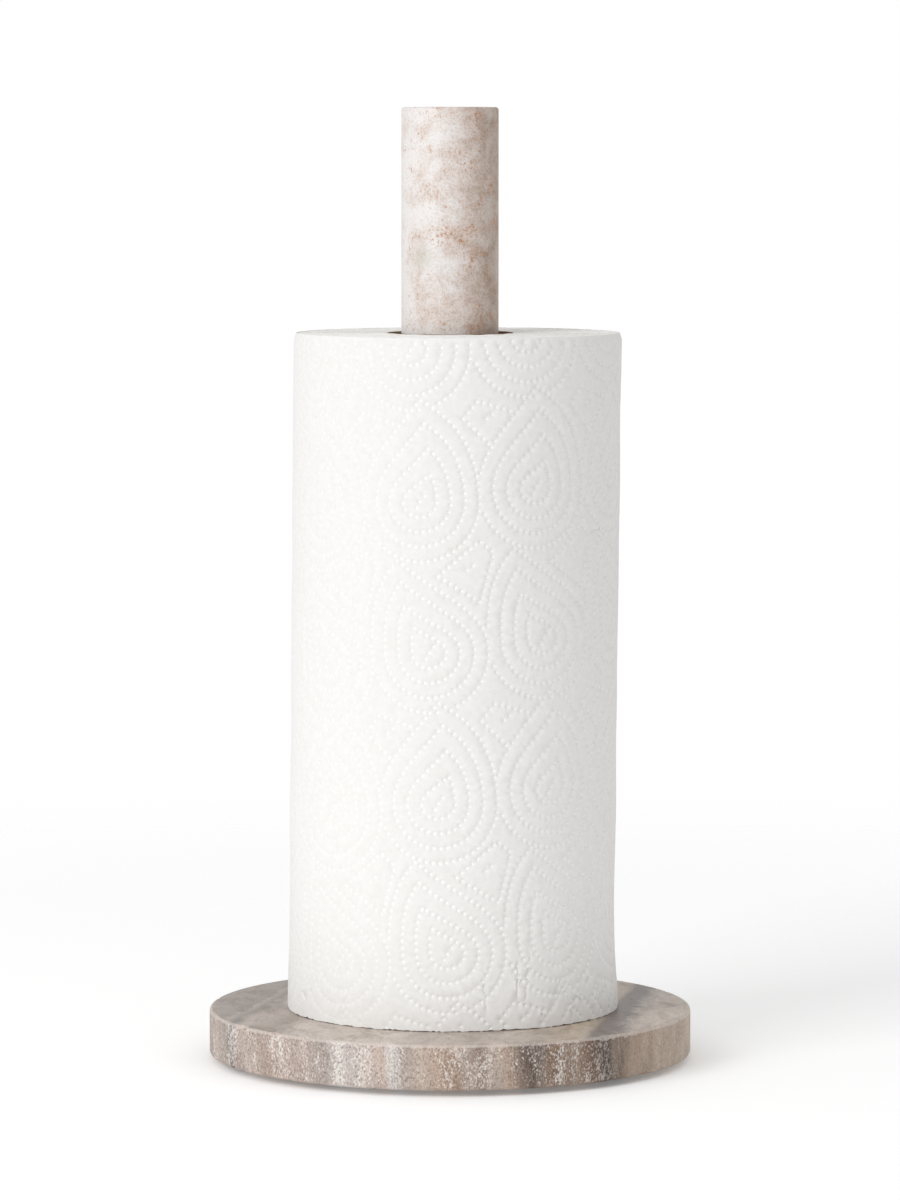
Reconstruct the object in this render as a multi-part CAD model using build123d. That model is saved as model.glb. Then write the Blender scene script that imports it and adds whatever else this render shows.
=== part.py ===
from build123d import *
from math import cos, radians, sin
import os

# Countertop paper towel holder: a marble post bolted to a marble disc, loaded with a towel roll.
# Millimetres, +Z up. The origin is on the post's axis, in the plane that the rubber feet stand on.
# Each sub-part is one STEP file in parts/.

# Driving dimensions
base_diameter = 160.0
base_thickness = 15.0
post_diameter = 32.0
post_length = 297.5
roll_diameter = 109.0
roll_height = 224.0

# Feet: four self-adhesive rubber pads
foot_diameter = 14.0
foot_height = 2.0
foot_count = 4
foot_circle_radius = base_diameter / 2 - 18.0
foot_edge_round = 0.6

# Softened arrises of the stone
base_top_round = 1.2
base_bottom_round = 1.0
post_top_round = 1.0
post_bottom_chamfer = 0.5
hole_chamfer = 0.5

# M8 button-head screw, sunk in the underside of the disc
screw_diameter = 8.0
screw_length = 30.0
thread_clearance = 0.05
head_diameter = 14.0
head_height = 4.4
head_flat_diameter = 8.0
hex_across_flats = 5.0
hex_depth = 2.6
screw_tip_chamfer = 1.0
screw_hole_diameter = 9.0
counterbore_diameter = 30.0
counterbore_depth = 8.0

# Washers and gasket
washer_bore = 8.4
steel_washer_diameter = 24.0
steel_washer_thickness = 2.0
steel_washer_chamfer = 0.3
cushion_diameter = 26.0
cushion_thickness = 1.0
gasket_diameter = 29.0
gasket_bore = 15.0
gasket_thickness = 0.5

# Brass insert, set with epoxy in a blind hole in the post
insert_diameter = 12.0
insert_length = 22.0
insert_end_wall = 2.0
insert_recess = 1.0
glue_gap = 1.0
knurl_grooves = 24
knurl_groove_radius = 0.35
knurl_band_height = 7.0
knurl_band_gap = 4.0

# Towel roll
core_inner_radius = 20.0
core_ply = 0.4
core_running_gap = 0.05
towel_thickness = 0.45
tail_angle = 65.0        # where the free end lies, anticlockwise from +X
outer_turn_sweep = 350.0
spiral_spans = 24

# Heights that follow from the sizes above
base_bottom = foot_height
base_top = base_bottom + base_thickness
post_bottom = base_top + gasket_thickness
post_top = post_bottom + post_length
counterbore_floor = base_bottom + counterbore_depth
cushion_bottom = counterbore_floor - cushion_thickness
washer_bottom = cushion_bottom - steel_washer_thickness
insert_bottom = post_bottom + insert_recess
insert_top = insert_bottom + insert_length
blind_hole_top = insert_top + glue_gap
blind_hole_diameter = insert_diameter + 2 * glue_gap
core_outer_radius = core_inner_radius + 2 * core_ply
winding_bore_radius = core_outer_radius + core_running_gap
winding_start_radius = roll_diameter / 2 - 2 * towel_thickness
foot_first_angle = 45.0


def rod(radius, low, high):
    """A solid cylinder on the post's axis between two heights."""
    return Pos(0, 0, low) * Cylinder(radius, high - low, align=(Align.CENTER, Align.CENTER, Align.MIN))


def tube(outer_radius, inner_radius, low, high):
    """A ring on the post's axis between two heights."""
    return rod(outer_radius, low, high) - rod(inner_radius, low, high)


def edges_at(shape, radius, height):
    """The circular edges of a turned shape that have this radius and lie at this height."""
    circles = shape.edges().filter_by(GeomType.CIRCLE)
    return [e for e in circles if abs(e.radius - radius) < 1e-3 and abs(e.center().Z - height) < 1e-3]


def base_disc():
    """Marble disc with a hole for the screw and a counterbore for its head."""
    disc = rod(base_diameter / 2, base_bottom, base_top)
    disc -= rod(counterbore_diameter / 2, base_bottom, counterbore_floor)
    disc -= rod(screw_hole_diameter / 2, counterbore_floor, base_top)
    disc = fillet(edges_at(disc, base_diameter / 2, base_top), base_top_round)
    disc = fillet(edges_at(disc, base_diameter / 2, base_bottom), base_bottom_round)
    mouth = edges_at(disc, counterbore_diameter / 2, base_bottom)
    return chamfer(mouth + edges_at(disc, screw_hole_diameter / 2, base_top), hole_chamfer)


def post():
    """Marble post, drilled from below for the insert."""
    radius = post_diameter / 2
    body = rod(radius, post_bottom, post_top) - rod(blind_hole_diameter / 2, post_bottom, blind_hole_top)
    body = fillet(edges_at(body, radius, post_top), post_top_round)
    return chamfer(edges_at(body, radius, post_bottom), post_bottom_chamfer)


def threaded_insert():
    """Closed-end brass insert with two knurled bands that key into the epoxy."""
    body = rod(insert_diameter / 2, insert_bottom, insert_top)
    body -= rod(screw_diameter / 2, insert_bottom, insert_top - insert_end_wall)
    middle = (insert_bottom + insert_top) / 2
    for low in (middle - knurl_band_gap / 2 - knurl_band_height, middle + knurl_band_gap / 2):
        for place in PolarLocations(insert_diameter / 2, knurl_grooves):
            groove = rod(knurl_groove_radius, low, low + knurl_band_height)
            body -= place * groove
    return body


def insert_epoxy(insert):
    """Cured epoxy that fills the blind hole round the insert and its knurls."""
    filling = rod(blind_hole_diameter / 2, insert_bottom, blind_hole_top)
    return filling - rod(screw_diameter / 2, insert_bottom, insert_top - insert_end_wall) - insert


def clamp_screw():
    """M8 button-head screw with a hexagon socket, its thread left plain."""
    head_bottom = washer_bottom - head_height
    shank = rod(screw_diameter / 2 - thread_clearance, washer_bottom, washer_bottom + screw_length)
    shank = chamfer(shank.edges().sort_by(Axis.Z)[-1], screw_tip_chamfer)
    rim = Vector(head_diameter / 2, 0, washer_bottom)
    crown = Vector(head_flat_diameter / 2, 0, head_bottom)
    dome = TangentArc(rim, crown, tangent=(0, 0, -1))
    flats = Polyline(crown, Vector(0, 0, head_bottom), Vector(0, 0, washer_bottom), rim)
    head = revolve(make_face(dome + flats), Axis.Z)
    hexagon = RegularPolygon(hex_across_flats / 2, 6, major_radius=False)
    return shank + head - Pos(0, 0, head_bottom) * extrude(hexagon, hex_depth)


def steel_washer():
    ring = tube(steel_washer_diameter / 2, washer_bore / 2, washer_bottom, cushion_bottom)
    return chamfer(edges_at(ring, steel_washer_diameter / 2, washer_bottom), steel_washer_chamfer)


def cushion_washer():
    """Rubber washer that keeps the steel off the stone."""
    return tube(cushion_diameter / 2, washer_bore / 2, cushion_bottom, counterbore_floor)


def post_gasket():
    """Thin rubber ring between the post and the disc."""
    return tube(gasket_diameter / 2, gasket_bore / 2, base_top, post_bottom)


def foot_pad(place):
    pad = rod(foot_diameter / 2, 0, foot_height)
    return place * fillet(edges_at(pad, foot_diameter / 2, 0), foot_edge_round)


def core_plies():
    """The two strips of board that make the cardboard core, as an inner and an outer tube."""
    top = base_top + roll_height
    middle = core_inner_radius + core_ply
    return tube(middle, core_inner_radius, base_top, top), tube(core_outer_radius, middle, base_top, top)


def spiral(start_radius, sweep):
    """Outline of the wound paper: it gains one thickness a turn, starting where the free end lies."""
    points = []
    for step in range(spiral_spans + 1):
        turned = sweep * step / spiral_spans
        radius = start_radius + towel_thickness * turned / 360
        angle = radians(tail_angle - outer_turn_sweep + turned)
        points.append((radius * cos(angle), radius * sin(angle)))
    return Spline(*points)


def extrude_roll(outline):
    return Pos(0, 0, base_top) * extrude(make_face(outline), roll_height)


def paper_winding():
    """All the turns of paper but the last, as one wound body with a step where the last turn begins."""
    edge = spiral(winding_start_radius, 360)
    body = extrude_roll(edge + Line(edge @ 1, edge @ 0))
    return body - rod(winding_bore_radius, base_top, base_top + roll_height)


def outer_turn():
    """The last turn of paper, ending in the free end."""
    inside = spiral(winding_start_radius, outer_turn_sweep)
    outside = spiral(winding_start_radius + towel_thickness, outer_turn_sweep)
    return extrude_roll(inside + Line(inside @ 1, outside @ 1) + outside + Line(outside @ 0, inside @ 0))


insert = threaded_insert()
inner_ply, outer_ply = core_plies()
parts = {
    "base_disc": base_disc(),
    "post": post(),
    "threaded_insert": insert,
    "insert_epoxy": insert_epoxy(insert),
    "clamp_screw": clamp_screw(),
    "steel_washer": steel_washer(),
    "cushion_washer": cushion_washer(),
    "post_gasket": post_gasket(),
    "core_inner_ply": inner_ply,
    "core_outer_ply": outer_ply,
    "paper_winding": paper_winding(),
    "outer_turn": outer_turn(),
}
feet = PolarLocations(foot_circle_radius, foot_count, start_angle=foot_first_angle)
for number, place in enumerate(feet, start=1):
    parts[f"foot_pad_{number}"] = foot_pad(place)

os.makedirs("parts", exist_ok=True)
for node, shape in parts.items():
    export_step(shape, f"parts/{node}.step")
    print(f"{node}: {shape.volume / 1000:.2f} cm3")
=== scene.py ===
from math import cos, exp, floor, hypot, pi, radians, sin, tan

import bpy
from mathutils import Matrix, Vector, kdtree, noise
from mathutils.geometry import delaunay_2d_cdt


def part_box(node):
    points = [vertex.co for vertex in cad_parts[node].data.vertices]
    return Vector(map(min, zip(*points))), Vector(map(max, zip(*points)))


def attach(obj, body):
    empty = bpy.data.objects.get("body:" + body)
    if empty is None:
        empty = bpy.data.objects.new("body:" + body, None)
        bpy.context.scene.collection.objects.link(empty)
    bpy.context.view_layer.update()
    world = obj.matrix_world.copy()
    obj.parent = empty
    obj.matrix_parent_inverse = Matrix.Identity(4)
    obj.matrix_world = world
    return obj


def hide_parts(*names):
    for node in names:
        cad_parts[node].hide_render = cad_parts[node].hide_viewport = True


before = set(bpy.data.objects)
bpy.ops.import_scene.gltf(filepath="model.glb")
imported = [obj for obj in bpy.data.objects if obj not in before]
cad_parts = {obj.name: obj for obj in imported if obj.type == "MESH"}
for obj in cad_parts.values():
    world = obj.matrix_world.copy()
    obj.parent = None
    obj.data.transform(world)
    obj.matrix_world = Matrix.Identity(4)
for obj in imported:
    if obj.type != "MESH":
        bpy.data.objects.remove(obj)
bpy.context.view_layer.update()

mm = 0.001
fullTurn = 2 * pi


def nodeBox(node):
    # corners of a CAD node, in millimetres
    low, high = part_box(node)
    return Vector(low) / mm, Vector(high) / mm


def linear(hexColour):
    channels = [int(hexColour[i:i + 2], 16) / 255 for i in (0, 2, 4)]
    return [c / 12.92 if c <= 0.04045 else ((c + 0.055) / 1.055) ** 2.4 for c in channels] + [1.0]


def addNode(tree, kind, values=None, wires=None, stops=None, **settings):
    node = tree.nodes.new("ShaderNode" + kind)
    for setting, value in settings.items():
        setattr(node, setting, value)
    for socket, value in (values or {}).items():
        node.inputs[socket].default_value = value
    for socket, source in (wires or {}).items():
        source = source.outputs[0] if hasattr(source, "outputs") else source
        tree.links.new(source, node.inputs[socket])
    for number, (place, colour) in enumerate(stops or []):
        ramp = node.color_ramp.elements
        stop = ramp[number] if number < 2 else ramp.new(place)
        stop.position = place
        stop.color = linear(colour) if isinstance(colour, str) else [colour] * 3 + [1.0]
    return node


def newMaterial(name, colour, roughness, **sockets):
    material = bpy.data.materials.new(name)
    material.use_nodes = True
    shader = material.node_tree.nodes["Principled BSDF"]
    shader.inputs["Base Color"].default_value = linear(colour)
    shader.inputs["Roughness"].default_value = roughness
    for socket, value in sockets.items():
        shader.inputs[socket.replace("_", " ")].default_value = value
    return material, material.node_tree, shader


def millimetreCoords(tree):
    # object coordinates in millimetres, so a noise scale of 1 / size gives features of that size
    coords = addNode(tree, "TexCoord")
    return addNode(tree, "VectorMath", {1: (1 / mm,) * 3}, {0: coords.outputs["Object"]},
                   operation="MULTIPLY")


def makeMesh(name, points, faces, material, sharpAngle=50):
    mesh = bpy.data.meshes.new(name)
    mesh.from_pydata([Vector(p) * mm for p in points], [], faces)
    mesh.validate()
    mesh.shade_smooth()
    mesh.set_sharp_from_angle(angle=radians(sharpAngle))
    mesh.materials.append(material)
    piece = bpy.data.objects.new(name, mesh)
    bpy.context.collection.objects.link(piece)
    return piece


def lathe(name, profile, segments, material, nudge=None):
    # a turned piece: its profile runs anticlockwise round the section, as (radius, height) pairs, and a point
    # on the axis is a pole; nudge says how far each point is worn in
    points, rows = [], []
    for index, (radius, height) in enumerate(profile):
        before, after = profile[index - 1], profile[(index + 1) % len(profile)]
        run = Vector((after[0] - before[0], after[1] - before[1])).normalized()
        count = 1 if radius == 0 else segments
        rows.append([len(points) + step % count for step in range(segments)])
        for step in range(count):
            turn = fullTurn * step / segments
            depth = nudge(radius, height, turn) if nudge and count > 1 else 0
            r, z = radius - depth * run.y, height + depth * run.x
            points.append((r * cos(turn), r * sin(turn), z))
    faces = []
    for lower, upper in zip(rows, rows[1:] + rows[:1]):
        for step in range(segments):
            nextStep = (step + 1) % segments
            corners = [lower[step], lower[nextStep], upper[nextStep], upper[step]]
            face = [c for i, c in enumerate(corners) if c not in corners[:i]]
            if len(face) > 2:
                faces.append(face)
    return makeMesh(name, points, faces, material)


def arc(centre, radius, start, end, steps):
    angles = [radians(start + (end - start) * i / steps) for i in range(steps + 1)]
    return [(centre[0] + radius * cos(a), centre[1] + radius * sin(a)) for a in angles]


def between(start, end, steps):
    # points from start up to, but not including, end
    return [(start[0] + (end[0] - start[0]) * i / steps, start[1] + (end[1] - start[1]) * i / steps)
            for i in range(steps)]


def smooth(low, high, value):
    # soft step from 0 at low to 1 at high
    t = min(1, max(0, (value - low) / (high - low)))
    return t * t * (3 - 2 * t)


bandedMarble = {
    "lean": 12.5,                           # degrees that the bands turn from straight back
    "fan": 0.001, "fanFrom": 70,            # the bands spread from this far in front: more lean on the left
    "waviness": 3.0, "waveLength": 40,
    "streak": 6.0, "streakShift": 2.2,      # cloudy layering along the bands, and how far it pushes them
    "grain": 0.6, "crystal": 0.45,
    "drift": 5.0,                           # width of the upright drifts in which bruised crystals gather
    "fleck": "e2dcd6", "fleckFree": 65,     # across the bands, past which the sawn rim has no bruised flecks
    # colour of the top arris: partly rubbed wear, partly a painted highlight
    "arrisWearAndHighlight": "d8cec6",
    "rimRoughness": 0.6, "topRoughness": 0.36,
    "from": -92, "to": 92,                  # stretch across the bands that the stops cover
    "stops": [                              # tone of the sawn rim; a ramp takes 32 stops at most
        (-92, "a6968e"), (-80, "a5968d"), (-73, "b0a29a"), (-68, "a4988f"), (-65.2, "625c5b"),
        (-62.7, "a6978f"), (-58, "b5a8a0"), (-49, "ac9b90"), (-41, "ae9e95"), (-34, "b5a69e"),
        (-25, "a29892"), (-20, "c5beba"), (-13, "b7aea8"), (-5, "b9a89e"), (-1, "c6c1be"),
        (3, "a3978f"), (10, "b5a69b"), (15, "ad998b"), (20, "a18a79"), (24, "a6998f"),
        (29, "8f7d72"), (33, "b0a39a"), (36, "b09d8e"), (41, "64534a"), (46, "82756c"),
        (49, "806856"), (55, "9f8e80"), (60, "755d4b"), (65.5, "46372f"), (71, "8e7d6e"),
        (78, "a89686"), (92, "b8a999"),
    ],
    "honedStops": [                         # the same bands as the honed top shows them
        (-92, "a1958b"), (-74, "9b8f86"), (-70, "94897f"), (-68, "ada197"), (-65, "897d74"),
        (-60, "b0a399"), (-55, "b2a59b"), (-47, "998c82"), (-39, "c3b7af"), (-31, "c6bbb2"),
        (-20, "c6b9ad"), (-4, "d0c5bc"), (6, "b8aba1"), (16, "c0b3a8"), (26, "b1a297"),
        (35, "c5b8ae"), (45, "b4a698"), (52, "bfaf9b"), (59, "baac9c"), (61.5, "776962"),
        (67.5, "766a64"), (70.5, "a3978d"), (74, "baaca1"), (92, "c0b4a7"),
    ],
}


def placeAcrossBands(tree, coords, streaks):
    # how far across the bands a point lies, in millimetres: leaning, fanned out, wavy, pushed by the streaks
    values = bandedMarble
    wave = addNode(tree, "TexNoise", {"Scale": 1 / values["waveLength"], "Detail": 3.0}, {"Vector": coords})
    wobble = addNode(tree, "MapRange", {"To Min": -values["waviness"], "To Max": values["waviness"]},
                     {"Value": wave.outputs["Fac"]})
    across = addNode(tree, "VectorMath", {1: (1, -tan(radians(values["lean"])), 0.05)}, {0: coords},
                     operation="DOT_PRODUCT")
    axes = addNode(tree, "SeparateXYZ", wires={0: coords})
    back = addNode(tree, "Math", {1: values["fanFrom"]}, {0: axes.outputs["Y"]}, operation="ADD")
    spread = addNode(tree, "Math", wires={0: axes.outputs["X"], 1: back}, operation="MULTIPLY")
    spread = addNode(tree, "Math", {1: values["fan"]}, {0: spread, 2: across.outputs["Value"]},
                     operation="MULTIPLY_ADD")
    shift = values["streakShift"]
    pushed = addNode(tree, "MapRange", {"From Min": 0.3, "From Max": 0.7, "To Min": -shift, "To Max": shift},
                     {"Value": streaks.outputs["Fac"]})
    place = addNode(tree, "Math", wires={0: spread, 1: wobble}, operation="ADD")
    return addNode(tree, "Math", wires={0: place, 1: pushed}, operation="ADD")


def makeBandedMarble():
    # Banded marble, sawn to a disc, its top honed and its rim left from the saw: the top is smooth and
    # quiet, the rim is dusted with bruised white crystals and pits, and the arris between is painted pale:
    # partly rubbed wear, partly a painted highlight where the rounding catches the light.
    values = bandedMarble
    material, tree, shader = newMaterial("bandedMarble", "ada29b", 0.45, IOR=1.56)
    coords = millimetreCoords(tree)
    # the layering is drawn out along the bands
    layered = addNode(tree, "Mapping", {"Rotation": (0, 0, -radians(values["lean"])), "Scale": (1, 0.5, 0.3)},
                      {"Vector": coords})
    streaks = addNode(tree, "TexNoise", {"Scale": 1 / values["streak"], "Detail": 9.0, "Roughness": 0.72,
                                         "Distortion": 0.8}, {"Vector": layered})
    place = placeAcrossBands(tree, coords, streaks)
    span = addNode(tree, "MapRange", {"From Min": values["from"], "From Max": values["to"]}, {"Value": place})
    width = values["to"] - values["from"]
    rim, top = [addNode(tree, "ValToRGB", wires={"Fac": span},
                        stops=[((at - values["from"]) / width, colour) for at, colour in values[side]])
                for side in ("stops", "honedStops")]
    normal = addNode(tree, "SeparateXYZ", wires={0: addNode(tree, "TexCoord").outputs["Normal"]})
    onTop = addNode(tree, "MapRange", {"From Min": 0.75, "From Max": 0.99}, {"Value": normal.outputs["Z"]})
    onRim = addNode(tree, "MapRange", {"From Min": 0.12, "From Max": 0.6, "To Min": 1.0, "To Max": 0.0},
                    {"Value": addNode(tree, "Math", wires={0: normal.outputs["Z"]}, operation="ABSOLUTE")})

    # the layering shows as soft streaks on the honed top, and as clouds on the rim
    streakTone = addNode(tree, "ValToRGB", wires={"Fac": streaks.outputs["Fac"]},
                         stops=[(0.32, "9a8e85"), (0.44, "e4dcd4"), (0.52, 1.0), (0.64, 1.2)])
    top = addNode(tree, "MixRGB", {"Fac": 0.75}, {"Color1": top, "Color2": streakTone}, blend_type="MULTIPLY")
    cloudTone = addNode(tree, "ValToRGB", wires={"Fac": streaks.outputs["Fac"]},
                        stops=[(0.34, 0.78), (0.5, 1.04), (0.66, 1.3)])
    rim = addNode(tree, "MixRGB", {"Fac": 0.6}, {"Color1": rim, "Color2": cloudTone}, blend_type="MULTIPLY")
    stone = addNode(tree, "MixRGB", wires={"Fac": onTop, "Color1": rim, "Color2": top})

    # the saw bruised the rim up to here across the bands; past it the stone is close grained and nearly clear
    clean = values["fleckFree"]
    sawn = addNode(tree, "MapRange", {"From Min": clean - 11, "From Max": clean + 6, "To Min": 1.0,
                                      "To Max": 0.14}, {"Value": place}, interpolation_type="SMOOTHSTEP")
    bruised = addNode(tree, "Math", wires={0: sawn, 1: onRim}, operation="MULTIPLY")

    # crystal grain, drawn out upwards where the saw dragged it
    upright = addNode(tree, "Mapping", {"Scale": (1, 1, 0.65)}, {"Vector": coords})
    grain = addNode(tree, "TexNoise", {"Scale": 1 / values["grain"], "Detail": 3.0, "Roughness": 0.8},
                    {"Vector": upright})
    grainTone = addNode(tree, "ValToRGB", wires={"Fac": grain.outputs["Fac"]},
                        stops=[(0.32, "6b5748"), (0.45, "dfd5cd"), (0.54, 1.0), (0.66, 1.0)])
    grainAmount = addNode(tree, "MapRange", {"To Min": 0.42, "To Max": 0.7}, {"Value": bruised})
    stone = addNode(tree, "MixRGB", wires={"Fac": grainAmount, "Color1": stone, "Color2": grainTone},
                    blend_type="MULTIPLY")

    # bruised crystals gather in upright drifts on the rim
    crystals = addNode(tree, "TexVoronoi", {"Scale": 1 / values["crystal"]}, {"Vector": upright})
    powder = addNode(tree, "Math", {1: 0.6, 2: 0.07}, {0: grain.outputs["Fac"]}, operation="MULTIPLY_ADD")
    bruise = addNode(tree, "Math", {1: 0.26}, {0: crystals.outputs["Color"], 2: powder},
                     operation="MULTIPLY_ADD")
    drifts = addNode(tree, "Mapping", {"Scale": (1, 1, 0.22)}, {"Vector": coords})
    drift = addNode(tree, "TexNoise", {"Scale": 1 / values["drift"], "Detail": 4.0, "Roughness": 0.65},
                    {"Vector": drifts})
    gather = addNode(tree, "MapRange", {"From Min": 0.3, "From Max": 0.7, "To Min": -0.18, "To Max": 0.115},
                     {"Value": drift.outputs["Fac"]})
    gathered = addNode(tree, "Math", wires={0: bruise, 1: gather}, operation="ADD")
    flecks = addNode(tree, "ValToRGB", wires={"Fac": gathered}, stops=[(0.49, 0.0), (0.64, 0.82)])
    fleckAmount = addNode(tree, "MapRange", {"To Min": 0.08, "To Max": 1.0}, {"Value": bruised})
    amount = addNode(tree, "Math", wires={0: flecks, 1: fleckAmount}, operation="MULTIPLY")
    stone = addNode(tree, "MixRGB", {"Color2": linear(values["fleck"])}, {"Fac": amount, "Color1": stone})

    # pale arris round the top: partly rubbed wear, partly a painted highlight where the rounding catches the
    # light
    arris = addNode(tree, "ValToRGB", wires={"Fac": normal.outputs["Z"]},
                    stops=[(0.1, 0.0), (0.3, 1.0), (0.85, 1.0), (0.98, 0.0)])
    rubbedAndLit = addNode(tree, "Math", wires={0: arris, 1: grain.outputs["Fac"]}, operation="MULTIPLY")
    stone = addNode(tree, "MixRGB", {"Color2": linear(values["arrisWearAndHighlight"])}, {"Fac": rubbedAndLit, "Color1": stone})
    tree.links.new(stone.outputs[0], shader.inputs["Base Color"])

    roughness = addNode(tree, "MapRange", {"To Min": values["rimRoughness"],
                                           "To Max": values["topRoughness"]}, {"Value": onTop})
    tree.links.new(roughness.outputs[0], shader.inputs["Roughness"])
    relief = addNode(tree, "Math", wires={0: gathered, 1: bruised}, operation="MULTIPLY")
    bump = addNode(tree, "Bump", {"Strength": 0.3, "Distance": 0.3 * mm}, {"Height": relief})
    fine = addNode(tree, "Bump", {"Strength": 0.12, "Distance": 0.1 * mm},
                   {"Height": grain.outputs["Fac"], "Normal": bump})
    tree.links.new(fine.outputs[0], shader.inputs["Normal"])
    return material


mottledMarble = {
    "white": "e7e3e1", "blush": "dbcfc8", "brown": "b39b8a",
    "rust": "b67b48", "dark": "5f493c", "moss": "bfc1b2",
    "mottle": 9.0, "grain": 0.65, "speck": 1.0, "cluster": 6.0,
    "mossAt": (-9, -13, 266), "mossSize": 5.5,      # the one green patch
    "sideSpan": 16.0,                                # the clouds grow and brown from here on -X to here on +X
}


def makeMottledMarble():
    # Crystalline marble, turned to a bar and honed: milky white ground, clouds of pink-brown, sugary grain,
    # and rusty iron specks that gather in clusters, all denser on one side.
    values = mottledMarble
    material, tree, shader = newMaterial("mottledMarble", values["white"], 0.42, IOR=1.56)
    coords = millimetreCoords(tree)
    sideways = addNode(tree, "SeparateXYZ", wires={0: coords}).outputs["X"]
    ends = {"From Min": -values["sideSpan"], "From Max": values["sideSpan"]}
    side = addNode(tree, "MapRange", {**ends, "To Min": -0.11, "To Max": 0.14}, {"Value": sideways})
    clouds = addNode(tree, "TexNoise", {"Scale": 1 / values["mottle"], "Detail": 8.0, "Roughness": 0.65,
                                        "Distortion": 0.3}, {"Vector": coords})
    cloud = addNode(tree, "Math", wires={0: clouds.outputs["Fac"], 1: side}, operation="ADD")
    ground = addNode(tree, "ValToRGB", wires={"Fac": cloud},
                     stops=[(0.40, values["white"]), (0.57, values["blush"]), (0.8, values["brown"])])
    grain = addNode(tree, "TexNoise", {"Scale": 1 / values["grain"], "Detail": 3.0, "Roughness": 0.8},
                    {"Vector": coords})
    grainTone = addNode(tree, "ValToRGB", wires={"Fac": grain.outputs["Fac"]},
                        stops=[(0.33, "b59c82"), (0.55, 1.0)])
    grainAmount = addNode(tree, "MapRange", {"From Min": 0.3, "From Max": 0.75, "To Min": 0.15,
                                             "To Max": 0.75}, {"Value": cloud})
    ground = addNode(tree, "MixRGB", wires={"Fac": grainAmount, "Color1": ground, "Color2": grainTone},
                     blend_type="MULTIPLY")

    # the whole of the +X side is made a little browner and darker
    sideTint = addNode(tree, "MapRange", ends, {"Value": sideways})
    sideTint = addNode(tree, "ValToRGB", wires={"Fac": sideTint},
                    stops=[(0.55, "ffffff"), (0.75, "f4f1ef"), (0.95, "ded8d0")])
    ground = addNode(tree, "MixRGB", {"Fac": 1.0}, {"Color1": ground, "Color2": sideTint}, blend_type="MULTIPLY")

    specks = addNode(tree, "TexNoise", {"Scale": 1 / values["speck"], "Detail": 3.0, "Roughness": 0.75},
                     {"Vector": coords})
    clusters = addNode(tree, "TexNoise", {"Scale": 1 / values["cluster"], "Detail": 3.0, "Roughness": 0.6},
                       {"Vector": coords})
    gather = addNode(tree, "MapRange", {"From Min": 0.35, "From Max": 0.7, "To Min": -0.13, "To Max": 0.1},
                     {"Value": clusters.outputs["Fac"]})
    denser = addNode(tree, "MapRange", {"From Min": 0.35, "From Max": 0.75, "To Min": -0.04, "To Max": 0.06},
                     {"Value": cloud})
    speck = addNode(tree, "Math", wires={0: specks.outputs["Fac"], 1: gather}, operation="ADD")
    speck = addNode(tree, "Math", wires={0: speck, 1: denser}, operation="ADD")
    rust = addNode(tree, "ValToRGB", wires={"Fac": speck}, stops=[(0.57, 0.0), (0.70, 0.8)])
    ground = addNode(tree, "MixRGB", {"Color2": linear(values["rust"])}, {"Fac": rust, "Color1": ground})
    dark = addNode(tree, "ValToRGB", wires={"Fac": speck}, stops=[(0.74, 0.0), (0.79, 0.85)])
    ground = addNode(tree, "MixRGB", {"Color2": linear(values["dark"])}, {"Fac": dark, "Color1": ground})
    away = addNode(tree, "VectorMath", {1: values["mossAt"]}, {0: coords}, operation="DISTANCE")
    moss = addNode(tree, "MapRange", {"From Min": 1.0, "From Max": values["mossSize"], "To Min": 0.5,
                                      "To Max": 0.0}, {"Value": away.outputs["Value"]})
    ground = addNode(tree, "MixRGB", {"Color2": linear(values["moss"])}, {"Fac": moss, "Color1": ground})
    tree.links.new(ground.outputs[0], shader.inputs["Base Color"])
    bump = addNode(tree, "Bump", {"Strength": 0.2, "Distance": 0.12 * mm}, {"Height": grain.outputs["Fac"]})
    tree.links.new(bump.outputs[0], shader.inputs["Normal"])
    return material


embossedTissue = {
    # the dots' colour is a painted highlight, lighter than the paper round them
    "thin": "e4e3e0", "thick": "ecebea", "dotHighlight": "f2f2f0",
    "mottle": 2.2, "crepe": 0.9, "crepeSquash": 2.4,
}


def makeEmbossedTissue():
    # Two-ply tissue, creped and embossed: matt white with a faint warm mottle and a soft fibre nap.
    values = embossedTissue
    material, tree, shader = newMaterial("embossedTissue", "e9e8e6", 0.92, IOR=1.47, Specular_IOR_Level=0.3)
    coords = millimetreCoords(tree)
    mottle = addNode(tree, "TexNoise", {"Scale": 1 / values["mottle"], "Detail": 6.0, "Roughness": 0.7},
                     {"Vector": coords})
    tone = addNode(tree, "ValToRGB", wires={"Fac": mottle.outputs["Fac"]},
                   stops=[(0.3, values["thin"]), (0.7, values["thick"])])
    # the dots are painted lighter than the paper between them: a painted highlight standing in for the light
    # the dimples catch
    dotHighlight = addNode(tree, "Attribute", attribute_name="dotHighlight")
    tone = addNode(tree, "MixRGB", {"Color2": linear(values["dotHighlight"])},
                   {"Fac": dotHighlight.outputs["Fac"], "Color1": tone})
    tree.links.new(tone.outputs[0], shader.inputs["Base Color"])
    # crepe lines are about 0.25 mm apart; drawn 0.4 mm apart and 0.9 mm long so that they show
    squashed = addNode(tree, "Mapping", {"Scale": (1, 1, values["crepeSquash"])}, {"Vector": coords})
    crepe = addNode(tree, "TexNoise", {"Scale": 1 / values["crepe"], "Detail": 4.0, "Roughness": 0.7},
                    {"Vector": squashed})
    bump = addNode(tree, "Bump", {"Strength": 0.28, "Distance": 0.09 * mm}, {"Height": crepe.outputs["Fac"]})
    tree.links.new(bump.outputs[0], shader.inputs["Normal"])
    return material


# turns are 0.45 mm apart; their stripes are drawn coarser so that they show
cutTissue = {"edge": "f8f7f4", "between": "e8e5e1", "stripe": 0.9, "fuzz": 5.0, "uneven": 1.6}


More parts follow.
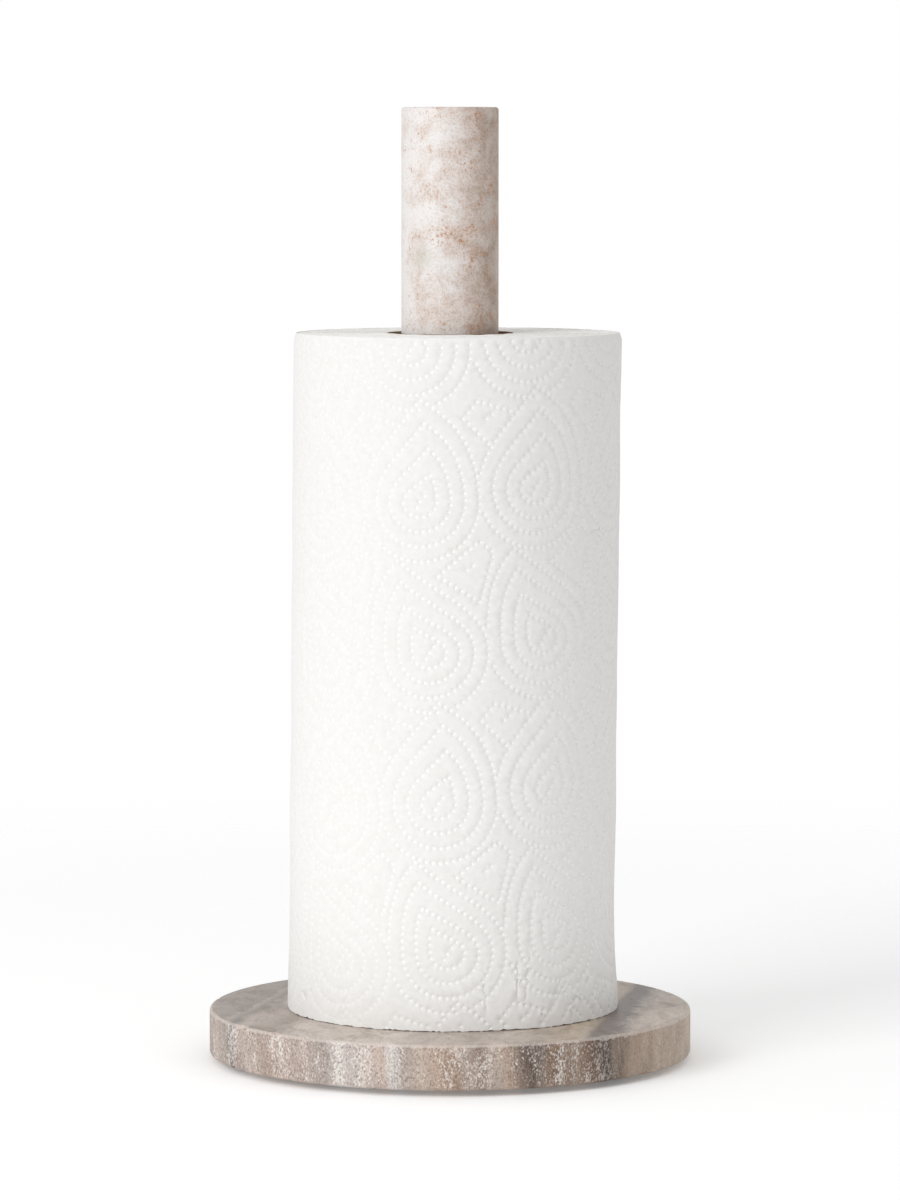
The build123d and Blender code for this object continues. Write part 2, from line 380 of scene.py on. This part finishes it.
def makeCutTissue():
    # The same tissue where the log saw cut it: the ends of the wound turns, slightly shaded between layers.
    values = cutTissue
    material, tree, shader = newMaterial("cutTissue", "e4e2df", 0.95, IOR=1.47, Specular_IOR_Level=0.3)
    coords = millimetreCoords(tree)
    flat = addNode(tree, "VectorMath", {1: (1, 1, 0)}, {0: coords}, operation="MULTIPLY")
    radius = addNode(tree, "VectorMath", wires={0: flat}, operation="LENGTH")
    fuzz = addNode(tree, "TexNoise", {"Scale": 1 / values["fuzz"], "Detail": 5.0, "Roughness": 0.7},
                   {"Vector": coords})
    uneven = addNode(tree, "MapRange", {"To Min": -values["uneven"], "To Max": values["uneven"]},
                     {"Value": fuzz.outputs["Fac"]})
    place = addNode(tree, "Math", wires={0: radius.outputs["Value"], 1: uneven}, operation="ADD")
    phase = addNode(tree, "Math", {1: fullTurn / values["stripe"]}, {0: place}, operation="MULTIPLY")
    layers = addNode(tree, "Math", wires={0: phase}, operation="SINE")
    tone = addNode(tree, "MapRange", {"From Min": -1.0, "To Min": 0.0}, {"Value": layers})
    colour = addNode(tree, "ValToRGB", wires={"Fac": tone},
                     stops=[(0.0, values["between"]), (0.6, values["edge"])])
    tree.links.new(colour.outputs[0], shader.inputs["Base Color"])
    bump = addNode(tree, "Bump", {"Strength": 0.5, "Distance": 0.12 * mm}, {"Height": tone})
    tree.links.new(bump.outputs[0], shader.inputs["Normal"])
    return material


coreBoard = {"dark": "6f5a48", "pale": "a08a75", "fibre": 1.4, "climb": 85}     # climb of the seam in a turn


def makeCoreBoard():
    # Recycled grey-brown board, spiral wound from two strips: dull, fibrous, with a helical seam.
    values = coreBoard
    material, tree, shader = newMaterial("coreBoard", "8a7360", 0.9, IOR=1.5, Specular_IOR_Level=0.3)
    coords = millimetreCoords(tree)
    axes = addNode(tree, "SeparateXYZ", wires={0: coords})
    turn = addNode(tree, "Math", wires={0: axes.outputs["Y"], 1: axes.outputs["X"]}, operation="ARCTAN2")
    turns = addNode(tree, "Math", {1: 1 / fullTurn}, {0: turn}, operation="MULTIPLY")
    climb = addNode(tree, "Math", {1: 1 / values["climb"]}, {0: axes.outputs["Z"]}, operation="MULTIPLY")
    seamPhase = addNode(tree, "Math", wires={0: climb, 1: turns}, operation="SUBTRACT")
    seam = addNode(tree, "Math", {1: 1.0, 2: 0.0}, {0: seamPhase}, operation="WRAP")
    line = addNode(tree, "ValToRGB", wires={"Fac": seam},
                   stops=[(0.0, 0.0), (0.006, 0.0), (0.012, 1.0), (0.99, 1.0)])
    fibres = addNode(tree, "TexNoise", {"Scale": 1 / values["fibre"], "Detail": 7.0, "Roughness": 0.75},
                     {"Vector": coords})
    board = addNode(tree, "ValToRGB", wires={"Fac": fibres.outputs["Fac"]},
                    stops=[(0.3, values["dark"]), (0.7, values["pale"])])
    board = addNode(tree, "MixRGB", {"Fac": 0.6}, {"Color1": board, "Color2": line}, blend_type="MULTIPLY")
    tree.links.new(board.outputs[0], shader.inputs["Base Color"])
    height = addNode(tree, "Math", {1: 0.3}, {0: fibres.outputs["Fac"]}, operation="MULTIPLY")
    height = addNode(tree, "Math", wires={0: height, 1: line}, operation="ADD")
    bump = addNode(tree, "Bump", {"Strength": 0.6, "Distance": 0.2 * mm}, {"Height": height})
    tree.links.new(bump.outputs[0], shader.inputs["Normal"])
    return material


def makeMetal(name, colour, roughness, grainSize):
    # Zinc plate on steel is blue-grey and faintly cloudy; turned brass is warm with soft tool lines.
    material, tree, shader = newMaterial(name, colour, roughness, Metallic=1.0)
    coords = millimetreCoords(tree)
    cloud = addNode(tree, "TexNoise", {"Scale": 1 / grainSize, "Detail": 5.0}, {"Vector": coords})
    spread = addNode(tree, "MapRange", {"To Min": roughness - 0.1, "To Max": roughness + 0.15},
                     {"Value": cloud.outputs["Fac"]})
    tree.links.new(spread.outputs[0], shader.inputs["Roughness"])
    tint = addNode(tree, "MixRGB", {"Color1": linear(colour), "Color2": (0.8, 0.8, 0.82, 1.0)},
                   {"Fac": cloud.outputs["Fac"]}, blend_type="MULTIPLY")
    tree.links.new(tint.outputs[0], shader.inputs["Base Color"])
    bump = addNode(tree, "Bump", {"Strength": 0.15, "Distance": 0.05 * mm}, {"Height": cloud.outputs["Fac"]})
    tree.links.new(bump.outputs[0], shader.inputs["Normal"])
    return material


def makeDullSolid(name, colour, shade, roughness, grainSize, ior):
    # Rubber is nearly black with a dry bloom; cured epoxy is honey coloured and clouded by filler.
    material, tree, shader = newMaterial(name, colour, roughness, IOR=ior)
    coords = millimetreCoords(tree)
    bloom = addNode(tree, "TexNoise", {"Scale": 1 / grainSize, "Detail": 6.0, "Roughness": 0.7},
                    {"Vector": coords})
    tone = addNode(tree, "ValToRGB", wires={"Fac": bloom.outputs["Fac"]},
                   stops=[(0.3, colour), (0.75, shade)])
    tree.links.new(tone.outputs[0], shader.inputs["Base Color"])
    bump = addNode(tree, "Bump", {"Strength": 0.3, "Distance": 0.06 * mm}, {"Height": bloom.outputs["Fac"]})
    tree.links.new(bump.outputs[0], shader.inputs["Normal"])
    return material


base = {
    "topRound": 1.2, "bottomRound": 1.0,
    "holeRadius": 4.5, "holeChamfer": 0.5, "counterboreRadius": 15.0, "counterboreDepth": 8.0,
    "segments": 720,
    "pitDepth": 0.1, "pitSize": 0.9, "chipDepth": 0.55, "chipSize": 3.0,
}


def makeBase(material):
    low, high = nodeBox("base_disc")
    radius, bottom, top = round((high.x - low.x) / 2, 3), low.z, high.z
    floorOfBore = bottom + base["counterboreDepth"]
    holeR, boreR, chamfer = base["holeRadius"], base["counterboreRadius"], base["holeChamfer"]
    topR, lowR = base["topRound"], base["bottomRound"]
    profile = between((boreR + chamfer, bottom), (radius - lowR, bottom), 16)
    profile += arc((radius - lowR, bottom + lowR), lowR, -90, 0, 5)
    profile += between((radius, bottom + lowR + 0.8), (radius, top - topR), 15)
    profile += arc((radius - topR, top - topR), topR, 0, 90, 6)
    profile += between((radius - topR - 0.8, top), (holeR + chamfer, top), 20)
    profile += [(holeR + chamfer, top), (holeR, top - chamfer)]
    profile += between((holeR, floorOfBore + 0.01), (boreR, floorOfBore), 3)
    profile += [(boreR, floorOfBore), (boreR, bottom + chamfer)]

    def wear(r, z, turn):
        if r < radius - 3:
            return 0
        spot = Vector((r * cos(turn), r * sin(turn), z))
        pits = base["pitDepth"] * max(0, noise.noise(spot / base["pitSize"]))
        pits *= 1 if r > radius - 0.2 else 0.2
        corner = 1 if abs(r - radius) < topR and (z > top - topR or z < bottom + lowR) else 0
        chips = smooth(0.28, 0.6, noise.noise(spot / base["chipSize"] + Vector((7, 3, 1))))
        return pits + corner * base["chipDepth"] * chips

    piece = lathe("marbleBase", profile, base["segments"], material, wear)
    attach(piece, "stand")
    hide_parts("base_disc")


post = {
    "topRound": 1.0, "bottomChamfer": 0.5, "boreRadius": 7.0, "boreDepth": 24.0,
    "segments": 192, "rowHeight": 2.4, "pitDepth": 0.05, "pitSize": 1.6,
}


def makePost(material):
    low, high = nodeBox("post")
    radius, bottom, top = round((high.x - low.x) / 2, 3), low.z, high.z
    topR, chamfer = post["topRound"], post["bottomChamfer"]
    boreR, boreTop = post["boreRadius"], bottom + post["boreDepth"]
    rows = round((top - bottom) / post["rowHeight"])
    profile = [(0, boreTop), (boreR, boreTop), (boreR, bottom), (radius - chamfer, bottom)]
    profile += between((radius, bottom + chamfer), (radius, top - topR), rows)
    profile += arc((radius - topR, top - topR), topR, 0, 90, 5)
    profile += between((radius - topR - 0.5, top), (0, top), 8) + [(0, top)]

    def wear(r, z, turn):
        if r < boreR + 0.1:
            return 0
        spot = Vector((r * cos(turn), r * sin(turn), z))
        return post["pitDepth"] * max(0, noise.noise(spot / post["pitSize"]) - 0.1)

    piece = lathe("marblePost", profile, post["segments"], material, wear)
    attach(piece, "stand")
    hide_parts("post")


roll = {
    "tailAngle": 65.0,       # where the free end lies, anticlockwise from +X
    "ply": 0.45, "sheetThickness": 0.38, "sweep": 390.0,
    "outerRadius": 54.15,    # outer face of the paper at the free end, before it puffs up
    "boreRadius": 20.85,
    "leanTop": 2.4, "leanBottom": 0.2,      # the soft roll sits off its core's axis, more so at the top
    "flare": 1.3, "flareHeight": 13.0,      # cut edge spread outwards at the bottom
    "lump": 0.35, "lumpSize": 26.0,
    "curl": 0.6, "curlHeight": 2.5,         # the top edge is rubbed round
    "loose": 0.7, "looseLength": 16.0,      # the free end stands off
}
rollBottom, rollTop = [corner.z for corner in nodeBox("outer_turn")]
rollHeight = rollTop - rollBottom
sheetStart = roll["tailAngle"] + 360 - roll["sweep"]
sheetLength = radians(roll["sweep"]) * roll["outerRadius"]
sheetFront = radians(270 - sheetStart) * roll["outerRadius"]      # along the sheet, the middle of the front

emboss = {
    "origin": (-11.8, 171.5),               # one drop's middle, along from the front and up from the edge
    "alongPitch": (38.6, 4.2), "upPitch": (-3.5, 48.7), "tilt": 5.0,
    "dotPitch": 2.25, "dotGap": 1.5, "dotRadius": 0.8, "dotFloor": 0.4, "dotDepth": 0.33, "lip": 0.09,
    "tightShare": 0.66,                     # how much shallower the dots are where the sheet lies tightest, and how much fainter their painted highlight
    "tight": (-105, -85, -38, -3),          # where that is, along from the front: fading in, then out
    "pillow": 0.05, "pillowReach": 2.1, "pillowGrid": 1.9,
    # each drop is four nested rings: half width, depth below the middle, tip across, tip above
    "rightRings": ((5.6, 5.0, 3.8, 8.6), (10.2, 9.8, 3.8, 16.8),
                   (14.8, 14.6, 3.2, 25.0), (19.4, 19.4, 2.4, 32.5)),
    "leftRings": ((5.6, 5.0, -5.0, 9.0), (10.2, 9.8, -6.8, 15.6),
                  (14.8, 14.6, -7.6, 23.6), (19.4, 19.4, -8.2, 30.5)),
    "middleDots": ((0, 0), (-1.2, -1.9), (1.6, 1.8)),
    # kites fill the corners between four drops
    "kiteShift": 4.6,
    "kiteBelowRight": ((-10.4, -0.8), (3.8, 9.4), (8.2, 5.2), (2.8, -10.6)),
    "kiteBelowLeft": ((-8.3, 1.0), (-3.3, 6.2), (9.2, 1.2), (0.8, -9.6)),
    "kiteDots": ((-0.8, 0.4), (1.2, 1.6)),
}

wear = {
    # creases as (along from the front, up, length, direction in degrees, depth)
    "creases": ((21.7, 9, 15, 88, 0.6), (11.5, 4, 18, 93, 0.35), (24.5, 7, 20, 84, 0.35),
                (49, 160, 13, 8, 0.25), (61, 157, 8, 160, 0.25), (40, 4, 9, 40, 0.55), (48, 6, 10, 118, 0.6),
                (55, 3, 9, 65, 0.6), (33, 2, 8, 130, 0.45), (62, 60, 12, 75, 0.3), (-40, 3, 9, 60, 0.3),
                (-58, 5, 8, 120, 0.35), (43, 2, 7, 100, 0.5), (51, 12, 6, 30, 0.5), (36, 9, 7, 70, 0.4)),
    # a crease is a line of points this far apart; its shoulders rise by a share of its depth
    "step": 0.7, "wander": 0.9, "shoulder": 0.5, "shoulderRise": 0.45,
    # perforations: behind the free end, rows cut and uncut, depth, shoulder and its rise
    "perforation": {"back": 240.0, "cut": 3, "tie": 1, "depth": 0.16, "shoulder": 0.45, "rise": 0.04},
    # teeth of the cut edges, as depth and length
    "bottomTeeth": (0.7, 1.6), "bottomWaves": (0.4, 5), "topTeeth": (0.3, 1.6), "endTeeth": (0.5, 0.9),
}

# how close the points of the sheet stand to each other, its edges, its dots and its folds
sheetMesh = {
    "edgeStep": 0.9, "backGrid": 6.0, "jitter": 0.35,
    "margin": 0.8, "foldRoom": 0.2, "pillowRoom": 0.42, "foldGap": 0.8,
}


def bezier(p0, p1, p2, p3, steps):
    curve = []
    for i in range(steps):
        t = i / steps
        u = 1 - t
        weights = (u ** 3, 3 * u * u * t, 3 * u * t * t, t ** 3)
        curve.append([sum(w * p[k] for w, p in zip(weights, (p0, p1, p2, p3))) for k in (0, 1)])
    return curve


def dropOutline(halfWidth, bottom, tipX, tipY):
    # the flank away from the lean runs nearly straight to the tip, and the other one bulges
    side = 1 if tipX > 0 else -1
    straight = bezier((-side * halfWidth, 0), (-side * halfWidth, 0.42 * tipY),
                      (tipX - side * 0.58 * halfWidth, 0.62 * tipY), (tipX, tipY), 40)
    bulge = bezier((tipX, tipY), (tipX + side * 0.62 * (halfWidth - abs(tipX)), 0.8 * tipY),
                   (side * halfWidth, 0.52 * tipY), (side * halfWidth, 0), 40)
    bowl = [(side * halfWidth * cos(pi * i / 40), -bottom * sin(pi * i / 40)) for i in range(40)]
    return straight + bulge + bowl


def dotsAlong(outline, pitch):
    # evenly spaced points round a closed outline
    closed = outline + outline[:1]
    runs = [hypot(b[0] - a[0], b[1] - a[1]) for a, b in zip(closed, closed[1:])]
    count = round(sum(runs) / pitch)
    step = sum(runs) / count
    dots, wanted, travelled = [], 0.0, 0.0
    for (a, b), run in zip(zip(closed, closed[1:]), runs):
        while wanted < travelled + run and len(dots) < count:
            t = (wanted - travelled) / run
            dots.append((a[0] + (b[0] - a[0]) * t, a[1] + (b[1] - a[1]) * t))
            wanted += step
        travelled += run
    return dots


def embossDots():
    # every dot of the pattern inside the sheet, none closer to another than dotGap
    tilt, pitch, gap = radians(emboss["tilt"]), emboss["dotPitch"], emboss["dotGap"]
    (ax, ay), (bx, by) = emboss["alongPitch"], emboss["upPitch"]
    originX, originY = sheetFront + emboss["origin"][0], emboss["origin"][1]
    kept, taken = [], {}

    def press(x, y):
        cell = (floor(x / gap), floor(y / gap))
        near = [taken.get((cell[0] + i, cell[1] + j)) for i in (-1, 0, 1) for j in (-1, 0, 1)]
        if not (1.2 < x < sheetLength - 1.2 and 1.0 < y < rollHeight - 1.0):
            return
        if any(n and hypot(n[0] - x, n[1] - y) < gap for n in near):
            return
        taken[cell] = (x, y)
        kept.append((x, y))

    def stamp(shape, atX, atY):
        for x, y in shape:
            press(atX + x * cos(tilt) - y * sin(tilt), atY + x * sin(tilt) + y * cos(tilt))

    columns, rows = range(-9, 10), range(-6, 4)
    places = [(j % 2 == 0, originX + i * ax + j * bx, originY + i * ay + j * by)
              for i in columns for j in rows]
    for ringNumber in range(4):
        for leansRight, x, y in places:
            rings = emboss["rightRings"] if leansRight else emboss["leftRings"]
            stamp(dotsAlong(dropOutline(*rings[ringNumber]), pitch), x, y)
    for leansRight, x, y in places:
        stamp(emboss["middleDots"], x, y)
        shift = -emboss["kiteShift"] if leansRight else emboss["kiteShift"]
        kite = emboss["kiteBelowRight"] if leansRight else emboss["kiteBelowLeft"]
        cornerX, cornerY = x + (ax - bx) / 2 + shift, y + (ay - by) / 2
        stamp(dotsAlong(list(kite), pitch), cornerX, cornerY)
        stamp(emboss["kiteDots"], cornerX, cornerY)
    return kept


def rollShape(turnDegrees, height, radius):
    # place of a point of the roll: round it by an angle that may pass a full turn, up from its lower edge
    angle, outerRadius = radians(turnDegrees), roll["outerRadius"]
    outwards = smooth(roll["boreRadius"], outerRadius, radius)
    lumps = Vector((cos(angle) * outerRadius, sin(angle) * outerRadius, height)) / roll["lumpSize"]
    lump = roll["lump"] * noise.noise(lumps) * outwards
    side = 0.75 + 0.45 * cos(angle)         # the flare is widest on +X
    flare = roll["flare"] * side * exp(-(height / roll["flareHeight"]) ** 2) * outwards
    share = height / rollHeight
    lean = (roll["leanBottom"] + (roll["leanTop"] - roll["leanBottom"]) * share) * outwards
    r = radius + lump + flare
    return r * cos(angle) + lean, r * sin(angle), rollBottom + height


def curlIn(level):
    return roll["curl"] * smooth(rollHeight - roll["curlHeight"], rollHeight, level)


def sheetEdge():
    # the outline of the flat sheet, anticlockwise
    across, up = round(sheetLength / sheetMesh["edgeStep"]), round(rollHeight / sheetMesh["edgeStep"])
    corners = [(0, 0), (sheetLength, 0), (sheetLength, rollHeight), (0, rollHeight), (0, 0)]
    edge = []
    for start, end, steps in zip(corners, corners[1:], (across, up, across, up)):
        edge += between(start, end, steps)
    return edge


def foldPoints():
    # creases that wander a little, and the perforations: a groove with a shoulder each side, as (x, y, rise)
    points, slits = [], wear["perforation"]
    for along, up, run, direction, depth in wear["creases"]:
        count, heading = round(run / wear["step"]), radians(direction)
        grooves = ((0, -depth), (-wear["shoulder"], wear["shoulderRise"] * depth),
                   (wear["shoulder"], wear["shoulderRise"] * depth))
        for step in range(count):
            wander = wear["wander"] * noise.noise(Vector((along + step * 0.35, up, 4)))
            fade = sin(pi * (step + 0.5) / count)
            walked = wear["step"] * step
            for offset, level in grooves:
                x = sheetFront + along + walked * cos(heading) - (offset + wander) * sin(heading)
                y = up + walked * sin(heading) + (offset + wander) * cos(heading)
                points.append((x, y, level * fade))
    for row in range(1, floor(rollHeight)):
        cut = row % (slits["cut"] + slits["tie"]) >= slits["tie"]
        for offset, level in ((0, -slits["depth"]), (-slits["shoulder"], slits["rise"]),
                              (slits["shoulder"], slits["rise"])):
            points.append((sheetLength - slits["back"] + offset, row, level if cut else 0))
    return points


def treeOf(spots):
    tree = kdtree.KDTree(len(spots))
    for index, (x, y) in enumerate(spots):
        tree.insert((x, y, 0), index)
    tree.balance()
    return tree


def triangles(spots):
    return [tuple(face) for face in delaunay_2d_cdt([Vector(p) for p in spots], [], [], 0, 1e-6, False)[2]]


def sheetRelief(dots):
    # points of the embossed face, as (x, y, rise, highlight); the last is how strongly the point is painted
    # lighter, a painted highlight in the dots
    relief, dotTree = [], treeOf(dots)
    room, (tightFrom, tightFull, looseFrom, looseFull) = emboss["dotRadius"], emboss["tight"]

    def clear(x, y, gap):
        margin = sheetMesh["margin"]
        inside = margin < x < sheetLength - margin and margin < y < rollHeight - margin
        return inside and dotTree.find((x, y, 0))[2] > room + gap

    for x, y in dots:
        along = x - sheetFront
        tight = smooth(looseFull, looseFrom, along) * smooth(tightFrom, tightFull, along)
        firm = 1 - emboss["tightShare"] * tight
        depth = emboss["dotDepth"] * firm * (0.85 + 0.4 * noise.noise(Vector((x, y, 0)) / 7))
        relief.append((x, y, -depth, firm))
        # the dot floor carries the painted highlight, the lip none
        for radius, corners, rise, dotHighlight in ((emboss["dotFloor"], 6, -0.9 * depth, firm),
                                               (emboss["dotRadius"], 8, emboss["lip"] * firm, 0.0)):
            for step in range(corners):
                turn = fullTurn * (step + 0.5) / corners
                relief.append((x + radius * cos(turn), y + radius * sin(turn), rise, dotHighlight))

    folds = [fold for fold in foldPoints() if clear(*fold[:2], sheetMesh["foldRoom"])]
    relief += [(x, y, rise, 0.0) for x, y, rise in folds]
    foldTree = treeOf([fold[:2] for fold in folds])

    # the paper between the dots puffs up
    grid, jitter = emboss["pillowGrid"], sheetMesh["jitter"]
    for row in range(1, floor(rollHeight / grid)):
        for column in range(1, floor(sheetLength / grid)):
            spot = Vector((column, row, 0)) * 1.7
            x = (column + 0.5 * (row % 2)) * grid + jitter * noise.noise(spot)
            y = row * grid + jitter * noise.noise(spot + Vector((9, 5, 2)))
            if clear(x, y, sheetMesh["pillowRoom"]) and foldTree.find((x, y, 0))[2] > sheetMesh["foldGap"]:
                rise = emboss["pillow"] * smooth(0.5, emboss["pillowReach"], dotTree.find((x, y, 0))[2])
                relief.append((x, y, rise, 0.0))
    return relief


def frayed(x, y):
    # how far a point of the sheet's edge is torn in, along the paper and up
    def teeth(kind, *spot):
        depth, pitch = wear[kind]
        return depth * abs(noise.noise(Vector(spot) / pitch))

    if y == 0:
        return 0, teeth("bottomTeeth", x, 0, 3) + teeth("bottomWaves", x, 2, 3)
    if y == rollHeight:
        return 0, -teeth("topTeeth", x, 0, 8)
    if x == sheetLength:
        return -teeth("endTeeth", 6, y, 1), 0
    return 0, 0


def wrap(x, y, rise):
    # from the flat sheet to its place on the roll
    shortened, lifted = frayed(x, y)
    x += shortened
    turned = roll["sweep"] / sheetLength * x
    spiral = roll["outerRadius"] - roll["ply"] * (roll["sweep"] - turned) / 360
    loose = roll["loose"] * smooth(sheetLength - roll["looseLength"], sheetLength, x)
    return rollShape(sheetStart + turned, y + lifted, spiral + rise + loose - curlIn(y))


def makeSheet(material):
    edge, dots = sheetEdge(), embossDots()
    relief = [(x, y, 0.0, 0.0) for x, y in edge] + sheetRelief(dots)
    points = [wrap(x, y, rise) for x, y, rise, _ in relief]
    faces = triangles([r[:2] for r in relief])

    # the plain inner face, and the strip between the two
    back, offset, count = list(edge), len(points), len(edge)
    across, up = round(sheetLength / sheetMesh["backGrid"]), round(rollHeight / sheetMesh["backGrid"])
    for row in range(1, up):
        for column in range(1, across):
            back.append((sheetLength * column / across, rollHeight * row / up))
    points += [wrap(x, y, -roll["sheetThickness"]) for x, y in back]
    faces += [tuple(offset + corner for corner in reversed(face)) for face in triangles(back)]
    for index in range(count):
        after = (index + 1) % count
        faces.append((after, index, offset + index, offset + after))

    piece = makeMesh("towelSheet", points, faces, material, 60)
    # how strongly each point carries the dots' painted highlight
    dotHighlight = [r[3] for r in relief] + [0.0] * len(back)
    piece.data.attributes.new("dotHighlight", "FLOAT", "POINT").data.foreach_set("value", dotHighlight)
    print("towel sheet:", len(dots), "dots,", len(faces), "faces")
    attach(piece, "paper")
    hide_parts("outer_turn")


winding = {
    "columns": 180, "rows": 150, "wallRows": 24,
    "ridge": 0.16, "ridgePitch": 1.1,       # coarser than the 0.45 mm of a turn, so that it shows
    "drift": 0.35, "softEdge": 0.5, "softWidth": 1.2, "gap": 0.06,
}


def windingOutside(turned):
    # the inner face of the lowest layer of the sheet at this angle, less a little
    step = roll["ply"] * smooth(356, 360, turned)
    spiral = roll["outerRadius"] - roll["ply"] * (roll["sweep"] - turned) / 360
    return spiral - step - roll["sheetThickness"] - winding["gap"]


def windingRidge(radius, turned, outer):
    # the cut ends of the turns stand a little uneven
    phase = fullTurn * (radius / winding["ridgePitch"] - turned / 360)
    spot = Vector((radius * cos(radians(turned)), radius * sin(radians(turned)), 0))
    drift = winding["drift"] * abs(noise.noise(spot / 9.0) + 0.5 * noise.noise(Vector((radius, 4, 2)) / 2.2))
    fall = winding["softEdge"] * smooth(outer - winding["softWidth"], outer, radius)
    return winding["ridge"] * (0.5 + 0.5 * sin(phase)) + drift + fall


def makeWinding(material):
    bore, columns = roll["boreRadius"], winding["columns"]
    ends = [share / winding["rows"] for share in range(winding["rows"] + 1)]
    walls = [share / winding["wallRows"] for share in range(1, winding["wallRows"])]
    section = [("top", share) for share in ends] + [("wall", share) for share in walls]
    section += [("bottom", share) for share in ends] + [("bore", share) for share in walls]
    points = []
    for column in range(columns):
        turned = 360 * column / columns
        outer = windingOutside(turned)
        for part, share in section:
            if part == "top":
                radius = bore + (outer - roll["curl"] - bore) * share
                level = rollHeight - windingRidge(radius, turned, outer)
            elif part == "wall":
                level = (rollHeight - winding["softEdge"]) * (1 - share ** 3)
                radius = outer - curlIn(level)
            elif part == "bottom":
                radius = outer + (bore - outer) * share
                level = windingRidge(radius, turned, outer)
            else:
                radius, level = bore, rollHeight * share
            points.append(rollShape(sheetStart + turned, level, radius))
    count, faces = len(section), []
    for column in range(columns):
        here, after = column * count, (column + 1) % columns * count
        for row in range(count):
            below = (row + 1) % count
            faces.append((here + row, here + below, after + below, after + row))
    piece = makeMesh("towelWinding", points, faces, material, 60)
    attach(piece, "paper")
    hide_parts("paper_winding")


studio = {
    "floorColour": "fafafa", "floorGlow": 0.15, "floorSides": 96,
    "fadeFrom": 260.0, "fadeTo": 800.0,     # the pale floor fades into the white tent
    "dome": 0.72, "background": 1.0,        # the tent as a lamp, and as the camera sees it
    "keyFrom": (-1.5, -1.6, 1.15), "keySize": 1.3, "keyPower": 25.6,
    "aim": (0, 0, 0.16),
}


def softbox(name, place, size, power):
    lamp = bpy.data.lights.new(name, "AREA")
    lamp.shape, lamp.size, lamp.energy = "SQUARE", size, power
    holder = bpy.data.objects.new(name, lamp)
    holder.location = place
    holder.rotation_euler = (Vector(studio["aim"]) - Vector(place)).to_track_quat("-Z", "Y").to_euler()
    bpy.context.collection.objects.link(holder)


def makeStudio():
    softbox("keySoftbox", studio["keyFrom"], studio["keySize"], studio["keyPower"])
    world = bpy.data.worlds.new("whiteTent")
    world.use_nodes = True
    tree = world.node_tree
    tent = tree.nodes["Background"]
    tent.inputs["Color"].default_value = (1, 1, 1, 1)
    ray = addNode(tree, "LightPath")
    level = addNode(tree, "MapRange", {"To Min": studio["dome"], "To Max": studio["background"]},
                    {"Value": ray.outputs["Is Camera Ray"]})
    tree.links.new(level.outputs[0], tent.inputs["Strength"])
    bpy.context.scene.world = world

    material, tree, shader = newMaterial("studioPaper", studio["floorColour"], 0.9, Specular_IOR_Level=0.2,
                                         Emission_Color=(1, 1, 1, 1), Emission_Strength=studio["floorGlow"])
    coords = millimetreCoords(tree)
    away = addNode(tree, "VectorMath", wires={0: coords}, operation="LENGTH")
    fade = addNode(tree, "MapRange", {"From Min": studio["fadeFrom"], "From Max": studio["fadeTo"],
                                      "To Min": 1.0, "To Max": 0.0}, {"Value": away.outputs["Value"]},
                   interpolation_type="SMOOTHSTEP")
    tree.links.new(fade.outputs[0], shader.inputs["Alpha"])
    sides, reach = studio["floorSides"], studio["fadeTo"]
    rim = [(reach * cos(fullTurn * i / sides), reach * sin(fullTurn * i / sides), 0) for i in range(sides)]
    floorPiece = makeMesh("studioFloor", rim, [tuple(range(sides))], material)
    settings = bpy.context.scene.view_settings
    settings.view_transform, settings.look = "Standard", "None"


# distance and height in metres, pitch in degrees, the rest in millimetres
lens = {"distance": 1.8, "height": 0.303, "pitch": 4.78, "focal": 163.7, "sensor": 36.0}


def makeCamera():
    camera = bpy.data.cameras.new("camera")
    camera.lens, camera.sensor_width = lens["focal"], lens["sensor"]
    camera.clip_start, camera.clip_end = 0.05, 50.0
    holder = bpy.data.objects.new("camera", camera)
    holder.location = (0, -lens["distance"], lens["height"])
    holder.rotation_euler = (radians(90 - lens["pitch"]), 0, 0)
    bpy.context.collection.objects.link(holder)
    bpy.context.scene.camera = holder


def refinish(materials):
    # CAD nodes whose shape is right stay, with a better surface
    for node, material in materials.items():
        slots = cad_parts[node].data.materials
        slots.clear()
        slots.append(material)


makeCamera()
makeStudio()
print("camera, lights and floor done")

makeBase(makeBandedMarble())
makePost(makeMottledMarble())
print("stone done")

makeWinding(makeCutTissue())
makeSheet(makeEmbossedTissue())
print("towel roll done")

board = makeCoreBoard()
steel = makeMetal("zincSteel", "b9bdc4", 0.35, 2.5)
sheetRubber = makeDullSolid("dieCutRubber", "161616", "2b2a29", 0.8, 0.9, 1.52)
footRubber = makeDullSolid("mouldedRubber", "1b1b1c", "333231", 0.7, 0.6, 1.52)
finishes = {
    "core_inner_ply": board, "core_outer_ply": board,
    "clamp_screw": steel, "steel_washer": steel,
    "cushion_washer": sheetRubber, "post_gasket": sheetRubber,
    "threaded_insert": makeMetal("knurledBrass", "c9a35b", 0.3, 1.5),
    "insert_epoxy": makeDullSolid("curedEpoxy", "b59b68", "cbb98e", 0.3, 2.0, 1.55),
}
finishes.update({f"foot_pad_{number}": footRubber for number in range(1, 5)})
refinish(finishes)
print("fittings refinished")
